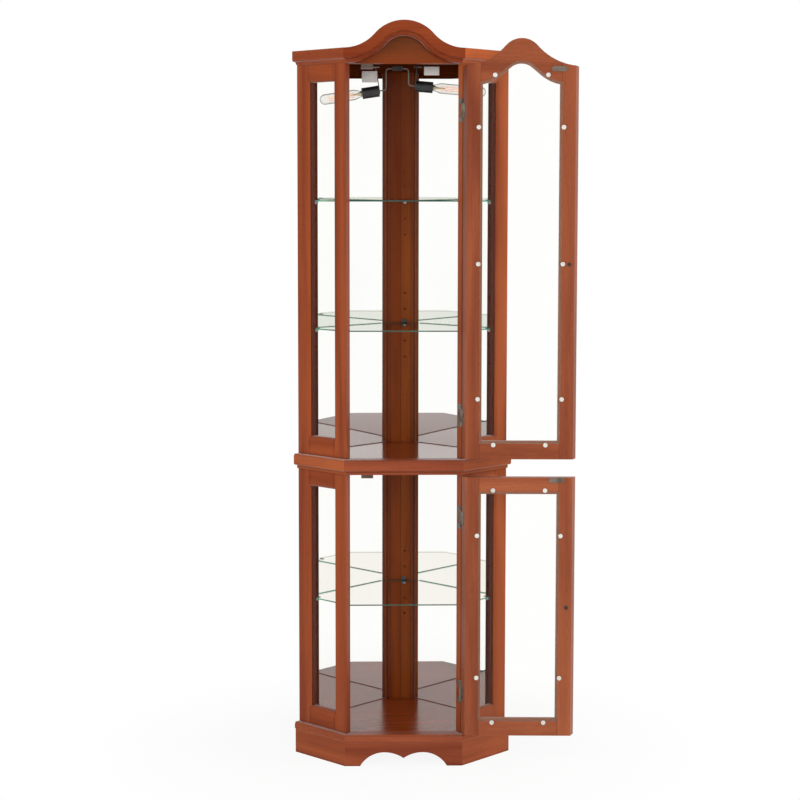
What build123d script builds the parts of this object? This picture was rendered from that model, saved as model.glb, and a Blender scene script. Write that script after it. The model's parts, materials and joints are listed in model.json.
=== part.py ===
from build123d import *
import math
import os

# Corner curio cabinet: arched crown, two glazed doors, mirrored back, glass shelves, two lamps.
# Millimetres. +X to the right seen from the front, +Y towards the room's corner, +Z up.
# The origin is on the floor, at the middle of the corner post's foot.
# The doors are drawn shut and then swung open on their hinges.

# Plan of the case
front_half = 137.5        # half the front's width, between the wings' outer corners
wing_width = 120.0          # how far each wing goes sideways, and back, at 45 degrees
overhang = 16.0           # how far the base, middle and crown mouldings stand out

# Heights of the case, each counted from the one before it
plinth_height = 60.0
floor_thickness = 17.0
lower_case_height = 639.0     # clear height of the lower case
ceiling_thickness = 19.0      # board over the lower case
deck_thickness = 18.0         # board under the upper case
upper_case_height = 947.0     # clear height of the upper case
roof_thickness = 18.0
crown_rise = 17.0             # crown's top over the roof
arch_rise = 65.0              # arch's peak over the crown's top

# Timber frames of the wings
frame_thickness = 20.0
wing_front_stile = 45.0
wing_rear_stile = 40.7
sticking = 5.0            # chamfer round each pane, on the outside
upper_rail_low = 46.0
upper_rail_high = 40.5
lower_rail_low = 45.0
lower_rail_high = 40.5
glass = 4.0
glass_lip = 8.0           # timber in front of a wing's pane
groove_depth = 6.0
groove_play = 0.3
edge_play = 1.0           # round the edges of panes and mirrors

# Doors
upper_gap_below = 4.0     # upper door above the deck
lower_gap_below = 2.0     # lower door above the floor
lower_gap_above = 3.0
hinge_gap = 1.6           # between a door's bevel and the case, which the hinge's leaf fills
door_stile = 45.6
door_rail_low = 44.0      # bottom rail of the upper door
lower_door_rail = 42.0    # and of the lower one
door_rail_high = 41.0
rabbet_width = 6.0
rabbet_depth = 4.5
door_open = 178.0         # how far the doors stand open
crown_to_door = 43.0      # crown's top to the door's arched head, square to the curve

# Arches of the crown and of the upper door's pane
crown_radius = 93.0
pane_peak = 59.0          # sight line below the door's peak
pane_radius = 39.0
pane_turn = 40.0
pane_straight = 27.5
pane_hollow = 102.0

# Mouldings
crown_face = 21.0         # flat face of the crown
crown_round = 4.0
crown_lip = 6.0           # cove's outer edge, inside the face
crown_cove = 7.0
bead_radius = 3.0         # bead along the top of the base and middle mouldings
bead_setback = 1.2
nose_round = 5.0
middle_step = 9.0         # small step under the middle moulding
middle_step_out = 5.0
base_round = 3.0

# Skirt
skirt_thickness = 18.0
skirt_setback = 2.5       # skirt behind the base moulding's nose
scallop_reach = 106.0     # middle to where the scallop meets the floor
scallop_lobe = 47.0
scallop_height = 34.0
scallop_cusp = 19.5
base_rail = 15.0
base_rail_low = 25.0
glue_block = 28.0

# Back of the case
backing = 4.0
mirror_glass = 3.0
stile_rabbet = 10.0       # timber outside the edge of the back panel
post_leg = 57.6           # post's length along each wall
post_depth = 22.3         # post's depth, square to each wall
post_rabbet = 8.0
batten_width = 16.0
batten_depth = 26.7

# Header behind the upper door's head
header_thickness = 15.0
header_clearance = 1.0
header_drop = 4.0         # header's top below the crown's

# Shelves
shelf_glass = 5.0
lower_shelf_height = 312.0    # shelf's underside over the case's floor
middle_shelf_height = 307.0   # over the deck
top_shelf_height = 620.0      # over the deck
shelf_setback = 26.0      # front edge behind the shut doors' outer faces
shelf_side_gap = 2.0
shelf_back_gap = 3.0
pin_radius = 2.5
pin_play = 0.05
pin_out = 8.0
pin_in = 8.0
pin_flange_radius = 3.8
pin_flange = 1.0
pin_pitch = 41.0
pin_rows = (-2, -1, 0, 1, 2)
pin_from_corner = 30.0    # along the wing from its front corner
pin_from_middle = 10.5    # on the post, clear of its glue line

# Hinges
hinge_inset = 102.0       # hinge's middle from a door's end
outer_leaf = 54.0
inner_leaf = 30.0
leaf_play = 0.5
leaf_thickness = 1.4
leaf_width = 14.0
leaf_margin = 4.0         # frame's leaf beyond the door's leaf
axis_offset = 3.0         # hinge axis outside the case's corner
knuckle_radius = 2.7
hinge_pin_radius = 1.3
hinge_pin_play = 0.06
screw_head = 3.0
screw_shank = 1.5
screw_length = 13.0
outer_screws = 21.0
inner_screws = 9.0
screw_inset = 8.5         # screws from the hinge axis

# Knobs, panes' buttons, strikes and catches
button_radius = 5.4
button_height = 3.0
button_out = 3.4          # button's middle outside the rabbet
button_row_inset = 101.0
button_pair = 62.5
button_screw = 1.4
button_bevel = 0.8
button_sink = 1.4         # depth of the screw head's seat
button_screw_head = 1.2   # its height
knob_radius = 13.0
knob_neck = 5.5
knob_foot = 8.0
knob_reach = 24.0
knob_crown = 6.0          # rise of the knob's domed face
knob_bulge = 8.0
knob_rim = 2.0
knob_inset = 21.0
knob_screw = 2.0
knob_screw_head = 4.5
knob_screw_height = 1.8
screw_slot = 0.8
strike_length = 37.0
strike_height = 12.0
strike_thickness = 1.2
strike_from_middle = 90.0
strike_from_top = 6.5
catch_length = 29.0
catch_depth = 15.0
catch_height = 12.0
catch_slot = 3.6
catch_slot_length = 19.0
catch_round = 2.0
catch_wall = 4.0          # behind the magnet
catch_recess = 1.0        # magnet behind the case's face
catch_from_middle = 88.0
catch_play = 0.5

# Lamps
lamp_behind_front = 120.0
left_lamp_drop = 59.0     # inner end of each holder below the ceiling
right_lamp_drop = 47.0
left_lamp_end = 58.0      # and from the middle
right_lamp_end = 31.0
left_lamp_tilt = 9.0
right_lamp_tilt = 5.0
left_bulb_length = 104.0
right_bulb_length = 130.0
holder_radius = 13.5
holder_length = 42.0
holder_wall = 2.5
bulb_radius = 13.0
bulb_cap_radius = 8.0
bulb_cap = 14.0
bracket_thickness = 2.0
bracket_width = 20.0
rose_radius = 12.0
rose_height = 10.0
lead_radius = 1.5
lead_bend = 0.45          # of the leads' end runs
grommet_radius = 7.0
grommet_wall = 2.5

floor_height = plinth_height + floor_thickness
lower_ceiling = floor_height + lower_case_height
deck_joint = lower_ceiling + ceiling_thickness
deck_height = deck_joint + deck_thickness
upper_ceiling = deck_height + upper_case_height
roof_height = upper_ceiling + roof_thickness
crown_height = roof_height + crown_rise
arch_peak = crown_height + arch_rise
half_turn = math.tan(math.radians(22.5))
diagonal = math.sqrt(0.5)
wing_length = wing_width / diagonal
wall_length = (front_half + wing_width) / diagonal
back_thickness = backing + mirror_glass
corner_y = (post_leg + post_depth) * diagonal / 2
front_y = corner_y - front_half - 2 * wing_width
crown_depth = frame_thickness + header_clearance
gap_slide = hinge_gap / 2 / math.cos(math.radians(22.5))
door_half = front_half - gap_slide
upper_door_low = deck_height + upper_gap_below
upper_door_high = crown_height - crown_to_door
lower_door_low = floor_height + lower_gap_below
lower_door_high = lower_ceiling - lower_gap_above
sight_half = door_half - door_stile
outer_corner = front_half + overhang * half_turn
spread = 60.0             # cutting shapes reach this far past what they trim

crown_turn = 2 * math.atan((arch_peak - crown_height) / outer_corner)
crown_arch = dict(
    peak=arch_peak,
    convex=crown_radius,
    turn=crown_turn,
    straight=0.0,
    hollow=outer_corner / math.sin(crown_turn) - crown_radius,
)
pane_arch = dict(
    peak=arch_peak - crown_to_door - pane_peak,
    convex=pane_radius,
    turn=math.radians(pane_turn),
    straight=pane_straight,
    hollow=pane_hollow,
)


def block(x0, x1, y0, y1, z0, z1):
    middle = Pos((x0 + x1) / 2, (y0 + y1) / 2, (z0 + z1) / 2)
    return middle * Box(x1 - x0, y1 - y0, z1 - z0)


def prism(points, low, high):
    """Upright prism over a plan outline."""
    face = make_face(Polyline(*[(x, y, low) for x, y in points], close=True))
    return extrude(face, amount=high - low, dir=(0, 0, 1))


def slab(points, near, far):
    """Board seen from the front: an outline in X and Z, between two depths."""
    face = make_face(Polyline(*[(x, near, z) for x, z in points], close=True))
    return extrude(face, amount=far - near, dir=(0, 1, 0))


def rod(start, direction, radius, length):
    """Round bar from a point along a direction."""
    plane = Plane(origin=start, z_dir=direction)
    return plane * Cylinder(radius, length, align=(Align.CENTER, Align.CENTER, Align.MIN))


def flipped(shape):
    return shape.mirror(Plane.YZ)


def save(node, *pieces):
    solids = [solid for piece in pieces for solid in piece.solids()]
    export_step(Compound(solids), f"parts/{node}.step")


# Places: the front is drawn with Y = 0 on the shut doors' outer faces, and a wing with X along
# it from its front corner and Y inward from its outer face.
front_place = Pos(0, front_y, 0)
wing_place = Pos(front_half, front_y, 0) * Rot(0, 0, 45)


def wing_point(along, inward):
    """Plan point on the right wing, seen in the front's own place."""
    return (front_half + (along - inward) * diagonal, (along + inward) * diagonal)


def wall_point(along, inward):
    """Plan point by the right wall: along it from the room's corner, and inward from it."""
    depth = front_half + 2 * wing_width
    return ((along - inward) * diagonal, depth - (along + inward) * diagonal)


def both_sides(points):
    return points + [(-x, y) for x, y in reversed(points) if abs(x) > 1e-6]


def interior(front, side, wall):
    """Plan of the space inside the case, kept clear of its front, wings and walls."""
    return both_sides([
        (front_half + front - side / diagonal, front),
        wing_point(wing_length - wall, side),
        wall_point(wall, wall),
    ])


# Arches

def arch_points(arch, drop, reach):
    """Right half of an arch, lowered square to itself: ends and middles of its stretches."""
    turn = arch["turn"]
    convex = arch["convex"] - drop
    hollow = arch["hollow"] + drop
    peak = arch["peak"] - drop
    bend = (convex * math.sin(turn), peak - convex * (1 - math.cos(turn)))
    crest = (convex * math.sin(turn / 2), peak - convex * (1 - math.cos(turn / 2)))
    start = (bend[0] + arch["straight"] * math.cos(turn), bend[1] - arch["straight"] * math.sin(turn))
    centre = (start[0] + hollow * math.sin(turn), start[1] + hollow * math.cos(turn))
    last = math.asin(max(0.0, (centre[0] - reach) / hollow))
    middle = (turn + last) / 2
    valley = (centre[0] - hollow * math.sin(middle), centre[1] - hollow * math.cos(middle))
    end = (centre[0] - hollow * math.sin(last), centre[1] - hollow * math.cos(last))
    return (0.0, peak), crest, bend, start, valley, end


def arch_edges(arch, drop, reach):
    """Edges of a whole arch in the plane Y = 0, from left to right."""
    top, crest, bend, start, valley, end = arch_points(arch, drop, reach)

    def at(point, side):
        return (side * point[0], 0, point[1])

    edges = [ThreePointArc(at(end, -1), at(valley, -1), at(start, -1))]
    if arch["straight"] > 0:
        edges.append(Line(at(start, -1), at(bend, -1)))
    edges.append(ThreePointArc(at(bend, -1), at(top, 1), at(bend, 1)))
    if arch["straight"] > 0:
        edges.append(Line(at(bend, 1), at(start, 1)))
    edges.append(ThreePointArc(at(start, 1), at(valley, 1), at(end, 1)))
    return edges


def arched_face(arch, drop, reach, low):
    """Outline with an arched head and a level foot, in the plane Y = 0."""
    end = arch_points(arch, drop, reach)[-1]
    feet = Polyline((end[0], 0, end[1]), (reach, 0, low), (-reach, 0, low), (-end[0], 0, end[1]))
    return make_face(arch_edges(arch, drop, reach) + list(feet.edges()))


def arched_board(arch, drop, reach, low, near, far):
    return extrude(Pos(0, near, 0) * arched_face(arch, drop, reach, low), amount=far - near, dir=(0, 1, 0))


def arch_height(arch, drop, x):
    """Height of the arch's hollow stretch at x."""
    start = arch_points(arch, drop, x)[3]
    hollow = arch["hollow"] + drop
    centre_x = start[0] + hollow * math.sin(arch["turn"])
    centre_z = start[1] + hollow * math.cos(arch["turn"])
    return centre_z - math.sqrt(hollow ** 2 - (centre_x - x) ** 2)


# Mouldings: each profile is (inward, height) in the plane X = 0

def profile_face(edges):
    return make_face([edge for part in edges for edge in part.edges()])


def quarter_arc(start, end, centre):
    """Quarter circle between two points of a profile, round a centre."""
    radius = math.dist(start, centre)
    way = [(a + b) / 2 - c for a, b, c in zip(start, end, centre)]
    scale = radius / math.hypot(*way)
    middle = [c + scale * w for c, w in zip(centre, way)]
    return ThreePointArc((0, *start), (0, *middle), (0, *end))


def profile_line(*points):
    return Polyline(*[(0, inward, height) for inward, height in points])


def nose_profile(low, high, step, step_out, low_round, depth):
    """Bead on top, a flat nose below it and a rounded lower edge, with an optional step under it."""
    bead = -overhang + bead_setback
    under = low + step
    quirk = high - bead_radius - bead_setback
    foot = [(-step_out, under), (-step_out, low)] if step > 0 else [(-step_out, low)]
    return profile_face([
        profile_line(*foot, (depth, low), (depth, high), (bead + bead_radius, high)),
        quarter_arc((bead + bead_radius, high), (bead, high - bead_radius), (bead + bead_radius, high - bead_radius)),
        profile_line((bead, high - bead_radius), (bead, quirk), (-overhang, quirk), (-overhang, under + low_round)),
        quarter_arc((-overhang, under + low_round), (-overhang + low_round, under),
                    (-overhang + low_round, under + low_round)),
        profile_line((-overhang + low_round, under), (-step_out, under)),
    ])


def crown_profile(depth):
    """Flat face with a rounded lower edge, and a small cove in to the case below it."""
    top = crown_height
    under = top - crown_face - crown_round
    turn = -overhang + crown_round
    lip = -overhang + crown_lip
    inner = lip + crown_cove
    cove_low = under - crown_cove
    return profile_face([
        profile_line((0, cove_low), (0, upper_ceiling), (depth, upper_ceiling), (depth, top),
                     (-overhang, top), (-overhang, under + crown_round)),
        quarter_arc((-overhang, under + crown_round), (turn, under), (turn, under + crown_round)),
        profile_line((turn, under), (lip, under)),
        quarter_arc((lip, under), (inner, cove_low), (lip, cove_low)),
        profile_line((inner, cove_low), (0, cove_low)),
    ])


def front_sector():
    near = front_half + spread * half_turn
    far = front_half - spread * half_turn
    return prism([(-near, -spread), (near, -spread), (far, spread), (-far, spread)], 0, arch_peak + 1)


def wing_sector():
    shift = spread * half_turn
    return prism([(-shift, -spread), (wing_length, -spread), (wing_length, spread), (shift, spread)],
                 0, arch_peak + 1)


def front_run(profile):
    run = extrude(Pos(-outer_corner - spread, 0, 0) * profile, amount=2 * (outer_corner + spread), dir=(1, 0, 0))
    return front_place * (run & front_sector())


def wing_widths(profile):
    """Left and right mouldings along the wings, rebated behind for the back panels."""
    run = extrude(Pos(-spread, 0, 0) * profile, amount=wing_length + spread, dir=(1, 0, 0))
    rebate = block(wing_length - backing, wing_length + 1, stile_rabbet, spread, 0, arch_peak)
    right = wing_place * ((run & wing_sector()) - rebate)
    return flipped(right), right


# Base: skirt, inner rails, moulding and floor

def scallop_arc(end_x, end_z):
    """Circular arc from the lobe's top down to an end."""
    run = end_x - scallop_lobe
    fall = scallop_height - end_z
    radius = (run ** 2 + fall ** 2) / (2 * fall)
    half = math.asin(abs(run) / radius) / 2
    middle_x = scallop_lobe + math.copysign(radius * math.sin(half), run)
    middle_z = scallop_height - radius * (1 - math.cos(half))
    return (middle_x, 0, middle_z)


def scallop():
    """The shaped opening under the front skirt."""
    foot = (scallop_reach, 0, 0)
    lobe = (scallop_lobe, 0, scallop_height)
    cusp = (0, 0, scallop_cusp)
    half = [
        ThreePointArc(foot, scallop_arc(scallop_reach, 0.0), lobe),
        ThreePointArc(lobe, scallop_arc(0.0, scallop_cusp), cusp),
    ]
    other = [edge.mirror(Plane.YZ) for edge in half]
    face = make_face(half + other + [Line((-scallop_reach, 0, 0), foot)])
    return extrude(Pos(0, -spread, 0) * face, amount=2 * spread, dir=(0, 1, 0))


def skirt_profile():
    near = -overhang + skirt_setback
    far = near + skirt_thickness
    return make_face(Polyline((0, near, 0), (0, far, 0), (0, far, plinth_height), (0, near, plinth_height), close=True))


def base():
    front = front_run(skirt_profile()) - front_place * scallop()
    left, right = wing_widths(skirt_profile())
    save("skirt_front", front)
    save("skirt_sides", left, right)
    profile = nose_profile(plinth_height, floor_height, 0.0, overhang - skirt_setback, base_round, frame_thickness)
    save("base_moulding_front", front_run(profile))
    save("base_moulding_sides", *wing_widths(profile))
    inner = skirt_thickness - overhang + skirt_setback
    rear = prism([wall_point(post_leg, backing), wall_point(wall_length - inner, backing),
                  wall_point(wall_length - inner, backing + base_rail), wall_point(post_leg, backing + base_rail)],
                 base_rail_low, plinth_height)
    corner = (front_half - inner * half_turn, inner)
    glued = prism([corner, (corner[0] - glue_block, inner), (corner[0], inner + glue_block),
                   (corner[0] + glue_block * diagonal, inner + glue_block * diagonal)],
                  base_rail_low, plinth_height)
    save("base_inner_frame", front_place * rear, flipped(front_place * rear),
         front_place * glued, flipped(front_place * glued))
    save("floor_deck", front_place * (deck_board(frame_thickness, plinth_height, floor_height)))


def post_plan(play=0.0):
    """Right half of the corner post, whose rear edges are rebated over the mirrors."""
    return [
        (0.0, wall_point(post_leg, post_depth)[1] - play),
        wall_point(post_leg + play, post_depth + play),
        wall_point(post_leg + play, back_thickness),
        wall_point(post_leg - post_rabbet + play, back_thickness),
        wall_point(post_leg - post_rabbet + play, 0.0),
        wall_point(0.0, 0.0),
    ]


def whole_post():
    half = prism(post_plan(), 0, arch_peak)
    return half + flipped(half)


def deck_board(front, low, high):
    """Board across the case, notched round the post."""
    return prism(interior(front, front, backing), low, high) - whole_post()


def middle():
    profile = nose_profile(lower_ceiling, deck_height, middle_step, middle_step_out, nose_round, frame_thickness)
    save("mid_moulding_front", front_run(profile))
    save("mid_moulding_sides", *wing_widths(profile))
    save("mid_deck", front_place * deck_board(frame_thickness, lower_ceiling, deck_joint),
         front_place * deck_board(frame_thickness, deck_joint, deck_height))


def crown():
    path = Wire([Line((-outer_corner - spread, 0, crown_height), (-outer_corner, 0, crown_height))]
                + arch_edges(crown_arch, 0.0, outer_corner)
                + [Line((outer_corner, 0, crown_height), (outer_corner + spread, 0, crown_height))])
    profile = crown_profile(crown_depth)
    start = Pos(-outer_corner - spread, 0, 0) * profile
    arched = sweep(start, path=path) & front_sector()
    save("crown_front", front_place * arched)
    save("crown_sides", *wing_widths(profile))
    board = arched_board(crown_arch, header_drop, outer_corner, upper_ceiling,
                         crown_depth, crown_depth + header_thickness)
    ends = prism(interior(crown_depth, crown_depth, 0.0), 0, arch_peak + 1)
    save("header_panel", front_place * (board & ends))
    roof = prism(interior(crown_depth + header_thickness, crown_depth, backing), upper_ceiling, roof_height)
    rose_x = (right_lamp_end - left_lamp_end) / 2
    grommet_hole = Pos(rose_x, lamp_behind_front, upper_ceiling) * Cylinder(grommet_radius, 3 * spread)
    save("roof_panel", front_place * (roof - grommet_hole))


def wing_point_at_depth(depth, inward):
    """Where the inner face of a wing, at a given distance inward, lies at a depth from the front."""
    return (front_half + depth - inward / diagonal, depth)


# Corner post, battens, mirrors and backs

def pin_height(shelf):
    return shelf - pin_radius


shelf_heights = (
    floor_height + lower_shelf_height,
    deck_height + middle_shelf_height,
    deck_height + top_shelf_height,
)
hole_heights = [pin_height(shelf) + row * pin_pitch for shelf in shelf_heights for row in pin_rows]


def pin_places():
    """Seat, outward direction and shank of each kind of shelf pin on the right, in plan."""
    stile = wing_point(pin_from_corner, frame_thickness)
    batten = wing_point(wing_length - back_thickness - batten_depth, frame_thickness + batten_width / 2)
    post = (pin_from_middle, wall_point(post_leg, post_depth)[1])
    return {
        "stile": (stile, (-diagonal, diagonal)),
        "batten": (batten, (-diagonal, -diagonal)),
        "post": (post, (0.0, -1.0)),
    }


def pin_holes(kind):
    (x, y), (dx, dy) = pin_places()[kind]
    radius = pin_radius + pin_play
    holes = [rod((x + dx, y + dy, z), (-dx, -dy, 0), radius, pin_in + 1 + edge_play) for z in hole_heights]
    return Compound(holes)


def shelf_pins():
    """Three pins on the right and two on the left under each shelf: the post's left board has none."""
    pins = []
    for kind, ((x, y), (dx, dy)) in pin_places().items():
        for shelf in shelf_heights:
            z = pin_height(shelf)
            shank = rod((x - dx * pin_in, y - dy * pin_in, z), (dx, dy, 0), pin_radius, pin_in + pin_out)
            flange = rod((x, y, z), (dx, dy, 0), pin_flange_radius, pin_flange)
            below = block(x - spread, x + spread, y - spread, y + spread, z - spread, shelf)
            pin = front_place * ((shank + flange) & below)
            pins.append(pin)
            if kind != "post":
                pins.append(flipped(pin))
    save("shelf_pins", *pins)


def back():
    post = front_place * prism(post_plan(), 0, upper_ceiling)
    save("corner_post_right", post - front_place * pin_holes("post"))
    save("corner_post_left", flipped(post))
    battens = []
    near = wing_length - back_thickness - batten_depth
    for low, high in ((floor_height, lower_ceiling), (deck_height, upper_ceiling)):
        strip = prism([wing_point(near, frame_thickness), wing_point(near + batten_depth, frame_thickness),
                       wing_point(near + batten_depth, frame_thickness + batten_width),
                       wing_point(near, frame_thickness + batten_width)], low, high)
        battens.append(front_place * (strip - pin_holes("batten")))
    save("shelf_battens_right", *battens)
    save("shelf_battens_left", *[flipped(strip) for strip in battens])
    first = post_leg - post_rabbet + edge_play
    last = wall_length - stile_rabbet - edge_play
    panel = prism([wall_point(first, 0), wall_point(last, 0), wall_point(last, backing), wall_point(first, backing)],
                  plinth_height, roof_height)
    save("back_panel_right", front_place * panel)
    save("back_panel_left", flipped(front_place * panel))
    for level, low, high in (("lower", floor_height, lower_ceiling), ("upper", deck_height, upper_ceiling)):
        sheet = prism([wall_point(first, backing), wall_point(last, backing),
                       wall_point(last, back_thickness), wall_point(first, back_thickness)], low, high - edge_play)
        save(f"{level}_mirror_right", front_place * sheet)
        save(f"{level}_mirror_left", flipped(front_place * sheet))


def shelves():
    side = frame_thickness + shelf_side_gap
    wall = back_thickness + shelf_back_gap
    batten_front = wing_length - back_thickness - batten_depth - shelf_back_gap
    batten_side = frame_thickness + batten_width + shelf_back_gap
    rear = wall_point(post_leg, post_depth)[1] - shelf_back_gap
    rear_half = front_half + 2 * wing_width - wall / diagonal - rear
    outline = both_sides([
        wing_point_at_depth(shelf_setback, side),
        wing_point(batten_front, side),
        wing_point(batten_front, batten_side),
        wing_point(wing_length - wall, batten_side),
        (rear_half, rear),
    ])
    for name, height in zip(("lower", "middle", "top"), shelf_heights):
        save(f"{name}_shelf", front_place * prism(outline, height, height + shelf_glass))


# Hinges, drawn about their own axis with X inward along the bevel and Y towards the wing

axis_x = front_half + axis_offset * math.sin(math.radians(22.5))
axis_y = -axis_offset * math.cos(math.radians(22.5))
hinge_place = Pos(axis_x, axis_y, 0) * Rot(0, 0, 112.5) * Rot(180, 0, 0)
upper_hinges = (upper_door_low + hinge_inset, upper_door_high - hinge_inset)
lower_hinges = (lower_door_low + hinge_inset, lower_door_high - hinge_inset)


def leaf_plate(side, width, half_height):
    seat = side * hinge_gap / 2
    face = seat - side * leaf_thickness
    return block(0, width, min(seat, face), max(seat, face), -half_height, half_height)


def leaf_screws(side, height, grow=0.0):
    """Countersunk screws of one leaf: heads flush in the leaf and shanks in the timber."""
    screws = []
    for z in (-height, height):
        seat = side * hinge_gap / 2
        head = rod((screw_inset, seat - side * leaf_thickness, z), (0, side, 0), screw_head + grow, leaf_thickness)
        shank = rod((screw_inset, seat, z), (0, side, 0), screw_shank + grow, screw_length)
        screws.append(head + shank)
    return screws


def frame_leaf():
    """Long leaf on the case, open in the middle for the door's leaf, with the pin fast in it."""
    window = inner_leaf / 2 + leaf_play
    leaf = leaf_plate(1, leaf_width + leaf_margin, outer_leaf / 2) + Cylinder(knuckle_radius, outer_leaf)
    leaf = leaf - block(-spread, leaf_width + leaf_play, -spread, spread, -window, window)
    for screw in leaf_screws(1, outer_screws):
        leaf = leaf - screw
    return leaf + Cylinder(hinge_pin_radius, outer_leaf)


def door_leaf():
    leaf = leaf_plate(-1, leaf_width, inner_leaf / 2) + Cylinder(knuckle_radius, inner_leaf)
    for screw in leaf_screws(-1, inner_screws):
        leaf = leaf - screw
    return leaf - Cylinder(hinge_pin_radius + hinge_pin_play, outer_leaf)


def hinge_set(heights, pieces):
    return [hinge_place_at(height) * piece for height in heights for piece in pieces]


def hinge_place_at(height):
    return Pos(0, 0, height) * hinge_place


def pilot_holes(heights, side, height):
    holes = hinge_set(heights, leaf_screws(side, height, pin_play))
    return Compound([solid for hole in holes for solid in hole.solids()])


# Wings

def wing_frame(low, high, rail_low, rail_high):
    """Stiles, rails and pane of one wing, in the wing's own place."""
    first, last = wing_front_stile, wing_length - wing_rear_stile
    bottom, top = low + rail_low, high - rail_high
    lap = wing_length - back_thickness
    timber = prism([
        (gap_slide, 0), (wing_length, 0), (wing_length, stile_rabbet), (lap, stile_rabbet),
        (lap, frame_thickness), (gap_slide + frame_thickness * half_turn, frame_thickness),
    ], low, high)
    timber = timber - block(first, last, -1, frame_thickness + 1, bottom, top)
    timber = timber - sticking_cut(first, last, bottom, top)
    deep = groove_depth
    timber = timber - block(first - deep, last + deep, glass_lip, glass_lip + glass + groove_play,
                            bottom - deep, top + deep)
    rails = rail_zone(first, last, bottom, top, low, high)
    pane = block(first - deep + edge_play, last + deep - edge_play, glass_lip, glass_lip + glass,
                 bottom - deep, top + deep - edge_play)
    return timber - rails, timber & rails, pane


def sticking_cut(first, last, bottom, top):
    """Chamfer round an oblong sight opening, on the outer face."""
    wide = Plane.XZ * Pos((first + last) / 2, (bottom + top) / 2, 0) * Rectangle(
        last - first + 2 * sticking, top - bottom + 2 * sticking)
    return extrude(wide, amount=sticking, dir=(0, 1, 0), taper=45)


def rail_zone(first, last, bottom, top, low, high):
    """Where the rails are: between the stiles, with the chamfers mitred at the corners."""
    lower = [(first - sticking, low - 1), (last + sticking, low - 1), (last + sticking, bottom - sticking),
             (last, bottom), (first, bottom), (first - sticking, bottom - sticking)]
    upper = [(first - sticking, high + 1), (last + sticking, high + 1), (last + sticking, top + sticking),
             (last, top), (first, top), (first - sticking, top + sticking)]
    return slab(lower, -1, frame_thickness + 1) + slab(upper, -1, frame_thickness + 1)


def wings():
    levels = (
        ("lower", floor_height, lower_ceiling, lower_rail_low, lower_rail_high, lower_hinges),
        ("upper", deck_height, upper_ceiling, upper_rail_low, upper_rail_high, upper_hinges),
    )
    for level, low, high, rail_low, rail_high, hinges in levels:
        stiles, rails, pane = [wing_place * piece for piece in wing_frame(low, high, rail_low, rail_high)]
        stiles = stiles - front_place * pin_holes("stile")
        hinged = stiles - front_place * pilot_holes(hinges, 1, outer_screws)
        for side, shapes in (("right", (hinged, rails, pane)), ("left", [flipped(s) for s in (stiles, rails, pane)])):
            for kind, shape in zip(("stiles", "rails", "glass"), shapes):
                save(f"{level}_{side}_wing_{kind}", shape)


# Doors

def door_plan():
    inner = door_half - frame_thickness * half_turn
    return [(-door_half, 0), (door_half, 0), (inner, frame_thickness), (-inner, frame_thickness)]


def upper_door_frame():
    low = upper_door_low
    bottom = low + door_rail_low
    board = arched_board(crown_arch, crown_to_door, outer_corner, low, -1, frame_thickness + 1)
    timber = board & prism(door_plan(), 0, arch_peak)
    timber = timber - arched_board(pane_arch, 0.0, sight_half, bottom, -1, frame_thickness + 1)
    wide = arched_face(pane_arch, -sticking, sight_half + sticking, bottom - sticking)
    narrow = Pos(0, sticking, 0) * arched_face(pane_arch, 0.0, sight_half, bottom)
    timber = timber - loft([wide, narrow], ruled=True)
    lap = frame_thickness - rabbet_depth
    timber = timber - arched_board(pane_arch, -rabbet_width, sight_half + rabbet_width, bottom - rabbet_width,
                                   lap, frame_thickness + 1)
    edge = rabbet_width - edge_play
    pane = arched_board(pane_arch, -edge, sight_half + edge, bottom - rabbet_width, lap, lap + glass)
    top = arch_points(pane_arch, 0.0, sight_half)[-1][1]
    corner = arch_points(pane_arch, -sticking, sight_half + sticking)[-1][1]
    return timber, pane, bottom, top, corner


def lower_door_frame():
    low, high = lower_door_low, lower_door_high
    bottom, top = low + lower_door_rail, high - door_rail_high
    timber = prism(door_plan(), low, high)
    timber = timber - block(-sight_half, sight_half, -1, frame_thickness + 1, bottom, top)
    timber = timber - sticking_cut(-sight_half, sight_half, bottom, top)
    lap = frame_thickness - rabbet_depth
    wide = rabbet_width
    timber = timber - block(-sight_half - wide, sight_half + wide, lap, frame_thickness + 1, bottom - wide, top + wide)
    edge = wide - edge_play
    pane = block(-sight_half - edge, sight_half + edge, lap, lap + glass, bottom - wide, top + edge)
    return timber, pane, bottom, top, top + sticking


def door_rail_zone(bottom, top, corner):
    """Rails between a door's stiles, with the chamfers mitred at the corners."""
    wide = sight_half + sticking
    lower = [(-wide, 0), (wide, 0), (wide, bottom - sticking), (sight_half, bottom),
             (-sight_half, bottom), (-wide, bottom - sticking)]
    upper = [(-wide, arch_peak), (wide, arch_peak), (wide, corner), (sight_half, top),
             (-sight_half, top), (-wide, corner)]
    return slab(lower, -1, frame_thickness + 1) + slab(upper, -1, frame_thickness + 1)


def button_places(bottom, top, arch_top):
    """Middles of the buttons that hold a door's pane, in X and Z."""
    column = sight_half + rabbet_width + button_out
    count = 3 if arch_top else 2
    first, last = bottom + button_row_inset, top - button_row_inset
    rows = [first + (last - first) * step / (count - 1) for step in range(count)]
    out = rabbet_width + button_out
    head = arch_height(pane_arch, -out, button_pair) if arch_top else top + out
    places = [(side * column, row) for side in (-1, 1) for row in rows]
    places += [(side * button_pair, bottom - out) for side in (-1, 1)]
    places += [(side * button_pair, head) for side in (-1, 1)]
    return places


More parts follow.
